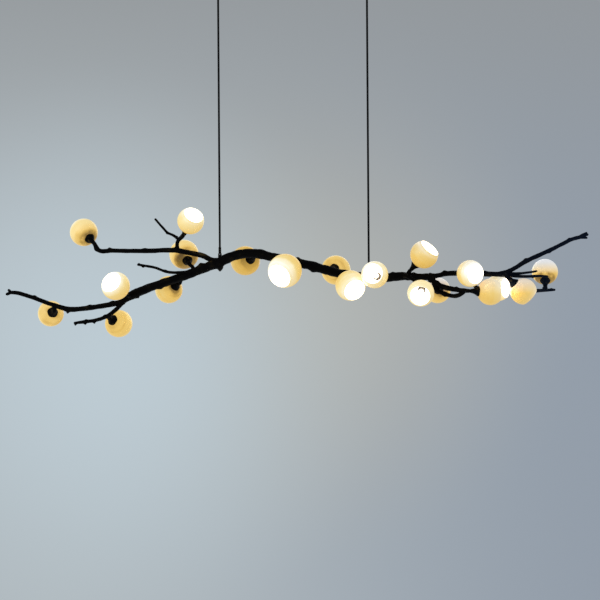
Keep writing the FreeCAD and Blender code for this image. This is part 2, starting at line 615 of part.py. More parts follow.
def stepped_bar(places, radius, knuckle):
    """Straight round bars between places, with a ball on each place but the first.

    Each ball's poles lie square to its bar, clear of the bar's own seam.
    """
    pieces = []
    for start, end in zip(places, places[1:]):
        poles = (Vector(*end) - Vector(*start)).cross(BALL_SIDE)
        pieces += [cylinder(radius, start, end), Part.makeSphere(knuckle, Vector(*end), poles)]
    return fuse(*pieces)


def spur_places(light):
    """A spur's places, from inside its limb to the back of its calyx."""
    return list(light[5]) + [tuple(calyx_back(light))]


# ---------------------------------------------------------------- build everything
os.makedirs("parts", exist_ok=True)

save("ceiling_plate", [ceiling_plate()])
save("canopy_cover", [canopy_cover()])
end_face = COVER_LENGTH / 2
save("cover_screws", [screw((end * end_face, y, COVER_SCREW_Z), (-end, 0, 0), 8) for end, y in cover_screw_places()])
save("plate_screws", [screw((x, 0, -PLATE_THICKNESS - depth), (0, 0, 1), PLATE_THICKNESS + depth)
                      for x, depth in plate_screw_places()])
save("cable_grommet", [cable_grommet()])
save("led_driver", [led_driver()])
save("terminal_block", [terminal_block()])
save("earth_stud", earth_stud())
save("canopy_leads", canopy_leads())
save("swivel_brackets", [swivel_bracket(x) for x in SIDES.values()])

for side, x in SIDES.items():
    save(f"gimbal_ring_{side}", [gimbal_ring(x)])
    save(f"sway_pin_{side}", [sway_pin(x)])
    save(f"rod_eye_{side}", [rod_eye(x)])
    save(f"hanger_rod_{side}", [rod_tube(x)])
    save(f"rod_lead_{side}", [rod_lead(x)])
    save(f"rod_ferrule_{side}", [rod_ferrule(x, OPEN_PIVOT_GAP if side == "right" else FIT)])

lugs = {side: hanger_lug(x) for side, x in SIDES.items()}
pins = {side: lug_pin(x) for side, x in SIDES.items()}
nuts = {side: finial_nut(x) for side, x in SIDES.items()}

# the limbs that carry lights are hollow: each one's route and the limb that its root is coped to
HOLLOW = {
    "trunk": (TRUNK, None),
    "left_limb": (LEFT_LIMB, "trunk"),
    "lower_left_twig": (LOWER_LEFT_TWIG, "left_limb"),
    "upper_left_limb": (UPPER_LEFT_LIMB, "trunk"),
    "right_limb": (RIGHT_LIMB, "trunk"),
    "lower_right_limb": (LOWER_RIGHT_LIMB, "trunk"),
    "back_twig": (BACK_TWIG, "right_limb"),
}
SOLID = {
    "long_right_twig": LONG_RIGHT_TWIG,
    "lower_right_strand": LOWER_RIGHT_STRAND,
    "top_twig": TOP_TWIG,
    "middle_left_twig": MIDDLE_LEFT_TWIG,
    "upper_side_twig": UPPER_SIDE_TWIG,
    "lower_side_twig": LOWER_SIDE_TWIG,
}
SMALL_TWIGS = ("back_twig", "top_twig", "middle_left_twig", "upper_side_twig", "lower_side_twig")


def carve(shape, tools):
    """The largest solid left when every tool that reaches the shape is cut from it."""
    for tool in tools:
        if tool and shape.BoundBox.intersect(tool.BoundBox):
            shape = max(shape.cut(tool).Solids, key=lambda solid: solid.Volume)
    return shape


def root_drill(route, radius):
    """A straight hole through the parent's wall where a limb or a spur begins."""
    return cylinder(radius, route[0][:3], route[1][:3])


def fitting_holes():
    """What the lugs, their studs and the finial nuts take out of the trunk."""
    holes = []
    for x in SIDES.values():
        centre, radius = point_on(TRUNK, x)
        top, foot = centre.z + radius, centre.z - radius
        holes.append(cylinder(LUG_RADIUS, (x, 0, top - LUG_SEAT), (x, 0, top + LUG_HEIGHT)))
        holes.append(cylinder(FINIAL_RADIUS, (x, 0, foot + LUG_SEAT), (x, 0, foot - LUG_HEIGHT)))
        holes.append(cylinder(STUD_RADIUS, (x, 0, foot - LUG_HEIGHT), (x, 0, top)))
    return holes


def ends_in_calyx(name):
    """Whether a limb runs on into a calyx."""
    return any(light[4] == name and not light[5] for light in LIGHTS)


def bundle(name):
    """The leads that run together inside a hollow limb, drawn as one round bundle."""
    route = list(HOLLOW[name][0])
    route[0] = (*route[0][:3], min(route[0][3], route[1][3]))
    return limb(route, WALL + SLACK, 0 if ends_in_calyx(name) else 2 * WALL)


for light in LIGHTS:
    if not light[5]:
        HOLLOW[light[4]][0].extend(calyx_end(light))
full = {name: limb(route) for name, (route, _) in HOLLOW.items()}
limbs = {}
for name, (route, parent) in HOLLOW.items():
    before = list(full)[:list(full).index(name)]
    drills = [root_drill(child, min(child[0][3], child[1][3]) - WALL)
              for child, owner in HOLLOW.values() if owner == name]
    drills += [root_drill(spur_places(light), SPUR_BORE_RADIUS)
               for light in LIGHTS if light[4] == name and light[5]]
    bore = limb(route, WALL, 0 if ends_in_calyx(name) or name == "trunk" else WALL)
    blank = carve(full[name], [full[other] for other in before])
    limbs[name] = carve(blank, [bore] + drills + (fitting_holes() if name == "trunk" else []))

bundles = {}
for name in HOLLOW:
    walls = [limbs[other] for other in limbs if other != name]
    bundles[name] = carve(bundle(name), fitting_holes() + list(bundles.values()) + walls)

spurs = []
calyxes = []
leads = []
for light in LIGHTS:
    cup = carve(on_light(calyx(light[3]), light), full.values() if light[5] else [])
    calyxes.append(cup)
    tail = calyx_back(light) + mouth_axis(light[1], light[2]) * (CALYX_LENGTH - HOLDER_TAIL)
    places = spur_places(light)
    if light[5]:
        spur = stepped_bar(places, SPUR_RADIUS, SPUR_RADIUS + KNUCKLE)
        bore = stepped_bar(places, SPUR_BORE_RADIUS, SPUR_BORE_RADIUS + SLACK)
        spurs.append(carve(spur, [*full.values(), bore, cup]))
    lead_radius = SPUR_BORE_RADIUS - SLACK
    lead = cylinder(lead_radius, places[-1], tail)
    if light[5]:
        lead = fuse(lead, stepped_bar(places, lead_radius, lead_radius + LEAD_KNUCKLE))
    leads.append(carve(lead, [bundles[light[4]], cup]))

for name, route in SOLID.items():
    limbs[name] = carve(limb(route), list(full.values()) + spurs + [limbs.get(other) for other in SOLID])

for name in limbs:
    if name not in SMALL_TWIGS:
        save(name, [limbs[name]])
save("small_twigs", [limbs[name] for name in SMALL_TWIGS])
save("branch_harness", list(bundles.values()) + leads)
save("shade_spurs", spurs)
save("calyxes", calyxes)
save("lampholders", [on_light(lampholder(light[3]), light) for light in LIGHTS])
save("retaining_rings", [on_light(retaining_ring(light[3]), light) for light in LIGHTS])
save("bulbs", [on_light(bulb(light[3]), light) for light in LIGHTS])
save("hanger_lugs", list(lugs.values()))
save("lug_pins", list(pins.values()))
save("finial_nuts", list(nuts.values()))
for number, light in enumerate(LIGHTS, 1):
    save(f"shade_{number:02d}", [on_light(shade(light[3]), light)])
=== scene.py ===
"""Branch chandelier: a cast branch with opal globes on two slim rods under a long canopy.

Lengths are typed in millimetres and turned to metres once. +Z is up, out of the ceiling, +X runs along
the branch to the right and +Y away from the front. Every new piece is a profile carried along a path,
or a profile turned about an axis, worked out on a grid of two parameters.
"""
import math
from collections import namedtuple
import bpy
import numpy as np
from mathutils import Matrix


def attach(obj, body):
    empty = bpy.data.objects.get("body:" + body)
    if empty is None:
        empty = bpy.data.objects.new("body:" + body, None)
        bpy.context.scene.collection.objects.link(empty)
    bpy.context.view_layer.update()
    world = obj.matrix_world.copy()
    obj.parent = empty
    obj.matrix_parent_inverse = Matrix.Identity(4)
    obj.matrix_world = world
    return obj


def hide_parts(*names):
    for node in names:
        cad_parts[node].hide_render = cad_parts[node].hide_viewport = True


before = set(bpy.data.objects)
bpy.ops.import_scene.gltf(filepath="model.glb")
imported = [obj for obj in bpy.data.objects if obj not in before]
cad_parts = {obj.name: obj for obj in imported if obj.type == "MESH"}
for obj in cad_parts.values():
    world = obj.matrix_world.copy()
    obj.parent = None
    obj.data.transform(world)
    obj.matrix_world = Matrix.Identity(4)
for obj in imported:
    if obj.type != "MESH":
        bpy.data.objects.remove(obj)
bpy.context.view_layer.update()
MM = 0.001

# ------------------------------------------------------------------ sizes, as the castings have them
SMALL, MEDIUM, LARGE, EXTRA = (44.0, 33.0), (46.5, 35.0), (50.0, 37.0), (56.0, 41.0)   # globe, mouth
GLASS = 2.5               # wall of a globe
GLOBE_HOLE = 7.7          # hole in the back of a globe, for the lampholder's stem
CALYX_LENGTH = 24.0
CALYX_NECK = 7.0
CALYX_RIM = 18.0
CALYX_PLAY = 0.25         # between a calyx and the back of its globe
HOLE_PLAY = 0.05          # between a holder's stem and the hole in its calyx
SOCKET_DEPTH = 12.0       # how far that hole reaches behind the globe
LEAD_BORE = 3.0           # bore for the lead through the rest of the calyx
SPUR = 6.4                # radius of a spur
RIM_EDGE = 1.3            # thickness of a calyx at its rim
LIP_ANGLE = 0.03          # how far a rolled lip reaches down each side of the wall, in radians
LIP_SWELL = 1.15          # a rolled lip against half the wall
LIP_CORNERS = 9           # corners of a lip's half circle, both ends counted
GLOBE_COLUMNS = 64
CALYX_COLUMNS = 52

# the skin of the castings: ridges and lumps are shares of the radius, the bark and all sizes are lengths
THREE_RIDGES, FIVE_RIDGES = 0.030, 0.022
RIDGE_TWIST = 0.006       # turn of the ridges, in radians for each millimetre along a limb
BROAD_LUMPS, BROAD_SIZE = 0.060, 26.0
SMALL_LUMPS, SMALL_SIZE = 0.034, 11.0
BARK, BARK_SIZE = 0.17, 4.2
COLLAR_SWELL = 0.42       # how much a limb thickens where it leaves its parent
FULL_RIDGE = 0.12         # the height that the finish takes for a whole ridge

# limb: its centre line as x, y, z and radius
TRUNK = [(-574, 9, -1081, 9.0), (-554, 8, -1071, 13.0), (-480, 4, -1041, 13.8), (-392, 0, -1012, 14.4),
         (-305, 0, -980, 15.1), (-250, 0, -958, 15.8), (-188, 0, -935, 16.1), (-145, -4, -931, 15.1),
         (-82, -8, -942, 15.1), (19, -10, -965, 15.1), (86, -8, -983, 15.8), (153, -4, -1001, 15.1),
         (200, 0, -1009, 15.1), (250, 0, -1014, 15.5), (314, 0, -1014, 14.8), (355, 0, -1011, 14.1),
         (420, 0, -1014, 11.0), (455, 0, -1014, 11.4), (472, 0, -1014, 8.0)]
LEFT_LIMB = [(-522, 7, -1060, 12.4), (-554, 8, -1074, 11.4), (-585, 10, -1091, 9.7),
             (-645, 10, -1103, 8.7), (-709, 8, -1112, 8.1), (-756, 5, -1115, 8.7), (-821, 0, -1096, 7.4),
             (-885, -8, -1072, 6.7), (-937, -14, -1057, 6.4), (-959, -16, -1057, 5.4)]
LOWER_LEFT_TWIG = [(-574, 8, -1086, 7.4), (-605, 4, -1120, 7.1), (-636, 0, -1141, 6.4),
                   (-671, -4, -1152, 6.0), (-717, -10, -1158, 5.4), (-741, -14, -1161, 4.0)]
UPPER_LEFT_LIMB = [(-257, 0, -959, 8.7), (-281, -3, -951, 8.7), (-304, -6, -939, 8.7),
                   (-333, -8, -932, 8.7), (-394, -12, -920, 8.4), (-492, -16, -921, 7.7),
                   (-607, -24, -919, 7.1), (-653, -30, -917, 7.4)]
RIGHT_LIMB = [(449, 0, -1013, 10.1), (479, 0, -1010, 8.7), (503, 0, -1004, 8.7), (546, 2, -1002, 8.7),
              (636, 4, -1005, 8.7), (691, 5, -1007, 8.7), (718, 6, -1007, 8.7)]
LONG_RIGHT_TWIG = [(702, 5, -1005, 7.7), (734, 8, -990, 7.4), (777, 14, -965, 7.4), (821, 20, -945, 7.1),
                   (864, 26, -926, 7.1), (908, 32, -905, 6.7), (945, 36, -888, 6.7), (965, 38, -883, 6.4),
                   (998, 42, -872, 4.4)]
LOWER_RIGHT_LIMB = [(452, 0, -1016, 9.7), (483, -8, -1041, 8.7), (523, -28, -1055, 8.4),
                    (546, -45, -1059, 8.1), (564, -59, -1061, 7.8)]
LOWER_RIGHT_STRAND = [(468, -4, -1031, 7.4), (478, -6, -1059, 7.4), (501, -14, -1071, 7.4),
                      (534, -32, -1079, 7.1), (552, -48, -1073, 7.1), (566, -59, -1063, 6.0)]
TOP_TWIG = [(-388, -30, -880, 4.8), (-403, -34, -870, 4.5), (-423, -38, -860, 4.3), (-434, -42, -848, 4.2),
            (-463, -50, -814, 3.6)]
MIDDLE_LEFT_TWIG = [(-344, 0, -991, 5.4), (-376, -18, -993, 5.0), (-405, -24, -994, 4.7),
                    (-428, -26, -991, 4.7), (-462, -26, -978, 4.4), (-503, -24, -970, 4.4),
                    (-526, -22, -966, 3.7)]
UPPER_SIDE_TWIG = [(709, 4, -1004, 5.0), (760, -3, -1004, 4.2), (787, -8, -1001, 4.0), (815, -12, -997, 3.4)]
LOWER_SIDE_TWIG = [(703, 1, -1010, 5.4), (772, -5, -1015, 5.0), (829, -11, -1014, 4.4),
                   (851, -12, -1016, 3.7)]
BACK_TWIG = [(712, 6, -1009, 6.4), (738, 28, -1029, 6.4), (780, 52, -1053, 6.4), (815, 42, -1062, 6.4),
             (850, 28, -1061, 5.4), (881, 20, -1060, 4.0)]

# light: globe centre, mouth turned round and up in degrees, globe size, the limb whose end carries it or
# the places its own spur passes through
Light = namedtuple("Light", "centre around up size limb spur")
LIGHTS = [Light(*row) for row in (
    ((-710, 22, -855), -140, 31, MEDIUM, UPPER_LEFT_LIMB, []),
    ((-341, -81, -825), 31, 39, SMALL, None, [(-392, -12, -920), (-388, -26, -889)]),
    ((-377, 76, -930), -159, 28, LARGE, None, [(-337, 0, -991), (-344, 6, -974)]),
    ((-590, -80, -1038), -25, 25, MEDIUM, None, [(-546, 7, -1068)]),
    ((-834, 80, -1129), -161, -6, SMALL, None, [(-806, 1, -1101)]),
    ((-602, 80, -1165), 158, -17, MEDIUM, None, [(-625, 2, -1134)]),
    ((-429, 70, -1050), -144, -17, MEDIUM, None, [(-381, 0, -1009)]),
    ((-168, 82, -953), -156, -6, LARGE, None, [(-149, -4, -932)]),
    ((-31, -90, -992), -34, -28, EXTRA, None, [(11, -10, -962)]),
    ((142, 92, -987), 171, -3, LARGE, None, [(129, -6, -995)]),
    ((185, -88, -1042), 25, -28, LARGE, None, [(160, -4, -1002)]),
    ((262, -140, -1008), -16, 7, SMALL, None, [(301, 0, -1014), (291, -36, -1016)]),
    ((433, -38, -940), 55, 44, MEDIUM, None, [(378, 0, -1012)]),
    ((415, -104, -1069), -10, -18, SMALL, None, [(361, 0, -1011), (375, -18, -1010), (405, -31, -1030)]),
    ((488, 76, -1059), 177, -6, SMALL, None, [(485, -9, -1042)]),
    ((580, -84, -1005), 29, -3, SMALL, None, [(536, 1, -1002)]),
    ((650, -58, -1066), 98, -3, SMALL, LOWER_RIGHT_LIMB, []),
    ((689, 38, -1053), 55, 1, SMALL, None, [(604, 3, -1004), (605, 36, -1014), (612, 68, -1036),
                                            (622, 82, -1050)]),
    ((767, -12, -1065), 101, -40, SMALL, None, [(704, 5, -1007), (708, -12, -1010)]),
    ((857, 86, -998), 171, 48, SMALL, None, [(844, 30, -1061)]),
)]


# ------------------------------------------------------------------ mesh making
def put_mesh(name, points, faces):
    """A smooth-shaded mesh object from points in millimetres and faces as lists of indices."""
    mesh = bpy.data.meshes.new(name)
    mesh.from_pydata((np.asarray(points) * MM).tolist(), [], faces)
    mesh.update()
    mesh.polygons.foreach_set("use_smooth", np.ones(len(mesh.polygons), bool))
    piece = bpy.data.objects.new(name, mesh)
    bpy.context.scene.collection.objects.link(piece)
    return piece


def wrap_faces(rows, columns, loop_rows=False):
    """Quads of a grid of rows by columns whose columns close on themselves, and its rows too if asked."""
    last = rows if loop_rows else rows - 1
    i, j = np.meshgrid(np.arange(last), np.arange(columns), indexing="ij")
    here, there = i * columns, ((i + 1) % rows) * columns
    side = (j + 1) % columns
    return np.stack([here + j, here + side, there + side, there + j], -1).reshape(-1, 4).tolist()


def point_mark(piece, name, values):
    """Stores one number for each point of a piece under a name that its material reads."""
    mark = piece.data.attributes.new(name, "FLOAT", "POINT")
    mark.data.foreach_set("value", np.asarray(values, np.float32))


def ripple(points, seed, size, waves=14):
    """A smooth wandering value between about -1 and 1 at each point.

    It is the mean of sine waves in seeded directions, with lengths between size and twice size.
    """
    dice = np.random.default_rng(seed)
    way = dice.normal(size=(waves, 3))
    way /= np.linalg.norm(way, axis=1, keepdims=True)
    length = size * dice.uniform(1.0, 2.0, waves)
    phase = dice.uniform(0, 2 * math.pi, waves)
    turns = np.tensordot(points, (way * (2 * math.pi / length)[:, None]).T, 1) + phase
    return np.sin(turns).sum(-1) / math.sqrt(waves) * 0.75


def eased_route(route, step):
    """Places and radii every step along a smooth line through a route's own places.

    Between two places the line is a cubic whose slope at each place is the mean of the two chords that
    meet there (each chord divided by its length), so it passes through every place without a corner.
    """
    route = np.asarray(route, float)
    chord = np.linalg.norm(np.diff(route[:, :3], axis=0), axis=1)
    mark = np.concatenate([[0], np.cumsum(chord)])
    slope = np.diff(route, axis=0) / chord[:, None]
    weight = chord[1:, None] / (chord[1:] + chord[:-1])[:, None]
    tangent = np.vstack([slope[:1], slope[:-1] * weight + slope[1:] * (1 - weight), slope[-1:]])
    s = np.linspace(0, mark[-1], max(8, int(mark[-1] / step)))
    k = np.clip(np.searchsorted(mark, s, side="right") - 1, 0, len(chord) - 1)
    h = chord[k][:, None]
    t = ((s - mark[k]) / chord[k])[:, None]
    line = ((2 * t**3 - 3 * t**2 + 1) * route[k] + (t**3 - 2 * t**2 + t) * h * tangent[k]
            + (-2 * t**3 + 3 * t**2) * route[k + 1] + (t**3 - t**2) * h * tangent[k + 1])
    return line[:, :3], np.maximum(line[:, 3], 1.0)


def cast_limb(route, seed, collar, buds, columns, step=1.8, rough=1.0):
    """Points, faces and ridge marks of one limb of the cast branch.

    At distance s along the eased route and angle a round it, the surface stands off the centre line by
    (R(s) * (1 + lumps + three and five long twisted ridges) + fine bark drawn out along X) times the
    collar, plus the buds. The collar is 1 + a swelling that dies away as exp(-distance past the parent's
    skin / collar size). A bud is a rounded cone: its height times exp(-(distance from its foot / its
    width) squared). Both ends close as the quarter of an ellipse.
    """
    middle, radius = eased_route(route, step)
    along = np.gradient(middle, axis=0)
    along /= np.linalg.norm(along, axis=1, keepdims=True)
    reference = np.linalg.svd(along)[2][2]
    side = np.cross(reference, along)
    side /= np.linalg.norm(side, axis=1, keepdims=True)
    up = np.cross(along, side)
    s = np.concatenate([[0], np.cumsum(np.linalg.norm(np.diff(middle, axis=0), axis=1))])
    angle = np.arange(columns) * 2 * math.pi / columns
    out = side[:, None] * np.cos(angle)[None, :, None] + up[:, None] * np.sin(angle)[None, :, None]
    skin = middle[:, None] + out * radius[:, None, None]
    twist = angle[None, :] + RIDGE_TWIST * s[:, None]
    ridge = (THREE_RIDGES * np.sin(3 * twist + seed)
             + FIVE_RIDGES * np.sin(5 * twist - 0.02 * s[:, None] + 2 * seed))
    lumps = (BROAD_LUMPS * ripple(skin, seed, BROAD_SIZE)
             + SMALL_LUMPS * ripple(skin, seed + 50, SMALL_SIZE))
    bark = BARK * ripple(skin * (0.45, 1, 1), seed + 90, BARK_SIZE)
    size = radius[:, None] * (1 + rough * (ridge + lumps)) + rough * bark
    if collar:
        swell = np.exp(-np.maximum(s - 0.75 * collar, 0) / (0.55 * collar))
        size = size * (1 + COLLAR_SWELL * swell[:, None])
    for (x, y, z), height, width in buds:
        foot = np.array([x, y, z], float)
        nearest = middle[np.argmin(np.linalg.norm(middle - foot, axis=1))]
        ray = (foot - nearest) / max(np.linalg.norm(foot - nearest), 1e-6)
        base = nearest + ray * radius[np.argmin(np.linalg.norm(middle - foot, axis=1))]
        size = size + height * np.exp(-(np.linalg.norm(skin - base, axis=-1) / width) ** 2)
    for from_end, end_radius in ((s, radius[0]), (s[-1] - s, radius[-1])):
        close = np.sqrt(1 - (1 - np.minimum(from_end / (1.1 * end_radius), 1)) ** 2)
        size = size * np.maximum(close, 0.02)[:, None]
    skin = middle[:, None] + out * size[:, :, None]
    rows = len(s)
    points = np.vstack([skin.reshape(-1, 3), middle[:1], middle[-1:]])
    faces = wrap_faces(rows, columns)
    start, finish = rows * columns, rows * columns + 1
    ring = np.arange(columns)
    faces += np.stack([np.full(columns, start), (ring + 1) % columns, ring], -1).tolist()
    low = (rows - 1) * columns
    faces += np.stack([np.full(columns, finish), low + ring, low + (ring + 1) % columns], -1).tolist()
    marks = np.concatenate([((ridge + lumps) / FULL_RIDGE).reshape(-1), [0, 0]])
    return points, faces, marks


def gathered(name, parts):
    """One object made of several limbs, as (points, faces, marks) each."""
    points, faces, marks, first = [], [], [], 0
    for part_points, part_faces, part_marks in parts:
        points.append(part_points)
        marks.append(part_marks)
        faces += [[index + first for index in face] for face in part_faces]
        first += len(part_points)
    piece = put_mesh(name, np.vstack(points), faces)
    point_mark(piece, "ridge", np.concatenate(marks))
    return piece


# ------------------------------------------------------------------ lights on their axes
def mouth_axis(around, up):
    """The way a mouth faces: round from the front, -Y, towards +X, then up."""
    a, e = math.radians(around), math.radians(up)
    return np.array([math.sin(a) * math.cos(e), -math.cos(a) * math.cos(e), math.sin(e)])


def turned(profile, light, columns, wobble):
    """A closed loop of (radius, height) turned about a light's own axis.

    Point (i, j) is centre + axis * height(i) + radius(i) * (side * cos a(j) + up * sin a(j)), with the
    radius scaled by 1 + wobble(i, j).
    """
    centre, axis = np.array(light.centre, float), mouth_axis(light.around, light.up)
    side = np.cross(axis, (0, 0, 1))
    side /= np.linalg.norm(side)
    up = np.cross(side, axis)
    profile = np.asarray(profile, float)
    angle = np.arange(columns) * 2 * math.pi / columns
    out = side * np.cos(angle)[:, None] + up * np.sin(angle)[:, None]
    radius = np.repeat(profile[:, :1], columns, 1) * (1 + wobble(profile, angle))
    points = centre + axis * profile[:, 1][:, None, None] + out[None] * radius[:, :, None]
    return points.reshape(-1, 3), wrap_faces(len(profile), columns, loop_rows=True)


def arc(radius, start, finish, count):
    """Places (distance from the axis, height) on a circle about the globe's centre.

    The angle is measured from the mouth: distance = radius * sin, height = radius * cos.
    """
    angle = np.linspace(start, finish, count)
    return np.stack([radius * np.sin(angle), radius * np.cos(angle)], -1)


def globe(number, light):
    """An open globe of opal glass: outer sphere, rolled lip, inner sphere and the edge of its back hole.

    The profile runs from the back hole along the outer circle to the mouth, round the lip as a half
    circle a little thicker than the wall, and back along the inner circle. Hand-blown glass is not
    quite round: the radius swells by a percent in two and three waves that fade towards the back.
    """
    radius, mouth = light.size
    back_out, front_out = math.pi - math.asin(GLOBE_HOLE / radius), math.asin(mouth / radius)
    inner = radius - GLASS
    back_in, front_in = math.pi - math.asin(GLOBE_HOLE / inner), math.asin((mouth - GLASS * 0.8) / inner)
    outside = arc(radius, back_out, front_out + LIP_ANGLE, 46)
    inside = arc(inner, front_in + LIP_ANGLE, back_in, 34)
    tip, root = outside[-1], inside[0]
    middle, half = (tip + root) / 2, np.linalg.norm(tip - root) / 2
    turn = np.linspace(0, math.pi, LIP_CORNERS)[1:-1]
    across = (tip - root) / (2 * half)
    ahead = np.array([-across[1], across[0]])
    if ahead[1] < 0:
        ahead = -ahead
    lip = middle + (across * np.cos(turn)[:, None] + ahead * np.sin(turn)[:, None]) * half * LIP_SWELL
    profile = np.vstack([outside, lip, inside])[::-1]

    def wobble(places, angle):
        fade = np.clip(places[:, 1] / radius * 0.5 + 0.5, 0, 1)[:, None]
        return fade * (0.008 * np.sin(2 * angle + number) + 0.005 * np.sin(3 * angle + 2.7 * number))[None]

    points, faces = turned(profile, light, GLOBE_COLUMNS, wobble)
    piece = put_mesh(f"opal_globe_{number:02d}", points, faces)
    distance = np.hypot(profile[:, 0], profile[:, 1])
    within = np.clip((radius - 0.35 * GLASS - distance) / (0.5 * GLASS), 0, 1)
    point_mark(piece, "mouthward", np.repeat(profile[:, 1] / radius, GLOBE_COLUMNS))
    point_mark(piece, "within", np.repeat(within, GLOBE_COLUMNS))
    return piece


def flared_calyx(number, light):
    """A calyx as points, faces and marks: a trumpet that cups the back of the globe.

    The outer profile is a smooth flare from the neck to the rim. The rim is drawn in and out by five
    shallow sepals, 1 + 0.022 * cos(5a), that fade to nothing at the neck.
    """
    radius = light.size[0]
    rim = math.sqrt(radius**2 - CALYX_RIM**2)
    route = np.array([(CALYX_NECK, -radius - CALYX_LENGTH), (7.4, -radius - 20), (8.6, -radius - 14.4),
                      (10.4, -radius - 9.8), (12.8, -radius - 5.6), (15.6, -rim - 5.2),
                      (CALYX_RIM, -rim + 0.4)])
    pick = np.linspace(0, len(route) - 1, 22)
    flare = np.stack([np.interp(pick, np.arange(len(route)), route[:, k]) for k in (0, 1)], -1)
    flare[1:-1] = (flare[:-2] + 2 * flare[1:-1] + flare[2:]) / 4
    hug, hole = radius + CALYX_PLAY, GLOBE_HOLE + HOLE_PLAY
    cup = arc(hug, math.pi - math.asin((CALYX_RIM - RIM_EDGE) / hug), math.pi - math.asin(hole / hug), 9)
    socket = np.array([(hole, -radius - SOCKET_DEPTH), (LEAD_BORE, -radius - SOCKET_DEPTH),
                       (LEAD_BORE, -radius - CALYX_LENGTH)])
    profile = np.vstack([flare, [(CALYX_RIM - 0.5, -rim + 0.9)], cup, socket])[::-1]

    def wobble(places, angle):
        flared = np.clip((places[:, 0] - 8) / 10, 0, 1)[:, None]
        return flared * (0.022 * np.cos(5 * angle + number) + 0.018 * np.sin(2 * angle + 3 * number))[None]

    points, faces = turned(profile, light, CALYX_COLUMNS, wobble)
    return points, faces, ripple(points, 300 + number, 9.0)


def back_of(light):
    """Where a light's calyx begins."""
    centre, axis = np.array(light.centre, float), mouth_axis(light.around, light.up)
    return centre - axis * (light.size[0] + CALYX_LENGTH)


def into_calyx(light, radius):
    """The last places of whatever carries a light, in line with its calyx."""
    back, axis = back_of(light), mouth_axis(light.around, light.up)
    return [(*(back - axis * 5), radius), (*(back + axis * 2), CALYX_NECK + 0.3)]


# ------------------------------------------------------------------ finishes
def linear(red, green, blue):
    """A colour given as 0 to 255 screen values, as the light values that a shader takes."""
    value = np.array([red, green, blue]) / 255
    light = np.where(value <= 0.04045, value / 12.92, ((value + 0.055) / 1.055) ** 2.4)
    return (*[float(v) for v in light], 1.0)


def joined_node(tree, kind, links, settings):
    """A new node in a tree with its settings, each link being (its input, what feeds it or its value)."""
    made = tree.nodes.new(kind)
    for key, value in settings.items():
        setattr(made, key, value)
    for socket, source in links:
        if hasattr(source, "links"):
            tree.links.new(source, made.inputs[socket])
        else:
            made.inputs[socket].default_value = source
    return made


class Finish:
    """A material being made: keeps its node tree and its shader, and joins nodes in one line each."""

    def __init__(self, name, **constants):
        self.material = bpy.data.materials.new(name)
        self.material.use_nodes = True
        self.tree = self.material.node_tree
        self.shader = self.tree.nodes["Principled BSDF"]
        for socket, value in constants.items():
            self.shader.inputs[socket.replace("_", " ")].default_value = value

    def node(self, kind, links=(), **settings):
        """A new node of this material."""
        return joined_node(self.tree, kind, links, settings)

    def place(self, scale=(1, 1, 1)):
        """Object coordinates, stretched by a scale."""
        where = self.node("ShaderNodeTexCoord").outputs["Object"]
        return self.node("ShaderNodeMapping", [("Vector", where), ("Scale", scale)]).outputs["Vector"]

    def cloud(self, size, detail=4.0, where=None):
        """Noise whose features are about size metres across."""
        return self.node("ShaderNodeTexNoise", [("Vector", where or self.place()), ("Scale", 1 / size),
                                                ("Detail", detail)]).outputs["Fac"]

    def mark(self, name):
        """A number stored on the piece's points."""
        return self.node("ShaderNodeAttribute", attribute_name=name).outputs["Fac"]

    def sum(self, *terms):
        """The sum of several (value, weight) pairs."""
        total = None
        for value, weight in terms:
            part = self.node("ShaderNodeMath", [(0, value), (1, weight)], operation="MULTIPLY").outputs[0]
            total = part if total is None else self.node("ShaderNodeMath", [(0, total), (1, part)],
                                                         operation="ADD").outputs[0]
        return total

    def ramp(self, value, stops):
        """Colours or grey values at places along a value."""
        made = self.node("ShaderNodeValToRGB", [("Fac", value)])
        row = made.color_ramp.elements
        while len(row) < len(stops):
            row.new(0.5)
        for element, (where, colour) in zip(row, stops):
            element.position = where
            element.color = colour if isinstance(colour, tuple) else (colour, colour, colour, 1)
        return made.outputs["Color"]

    def mix(self, share, first, second):
        """Two colours mixed by a share."""
        return self.node("ShaderNodeMix", [(0, share), (6, first), (7, second)], data_type="RGBA").outputs[2]

    def bump(self, height, metres, strength):
        """Fine relief of a given depth."""
        relief = self.node("ShaderNodeBump", [("Height", height), ("Distance", metres),
                                              ("Strength", strength)])
        self.feed("Normal", relief.outputs["Normal"])

    def feed(self, socket, output):
        """Joins an output to the shader."""
        self.tree.links.new(output, self.shader.inputs[socket])


PAINTED_HIGHLIGHT_SPOT = (-0.315, -0.01, -0.94)      # where a painted highlight lightens the bronze most, in metres
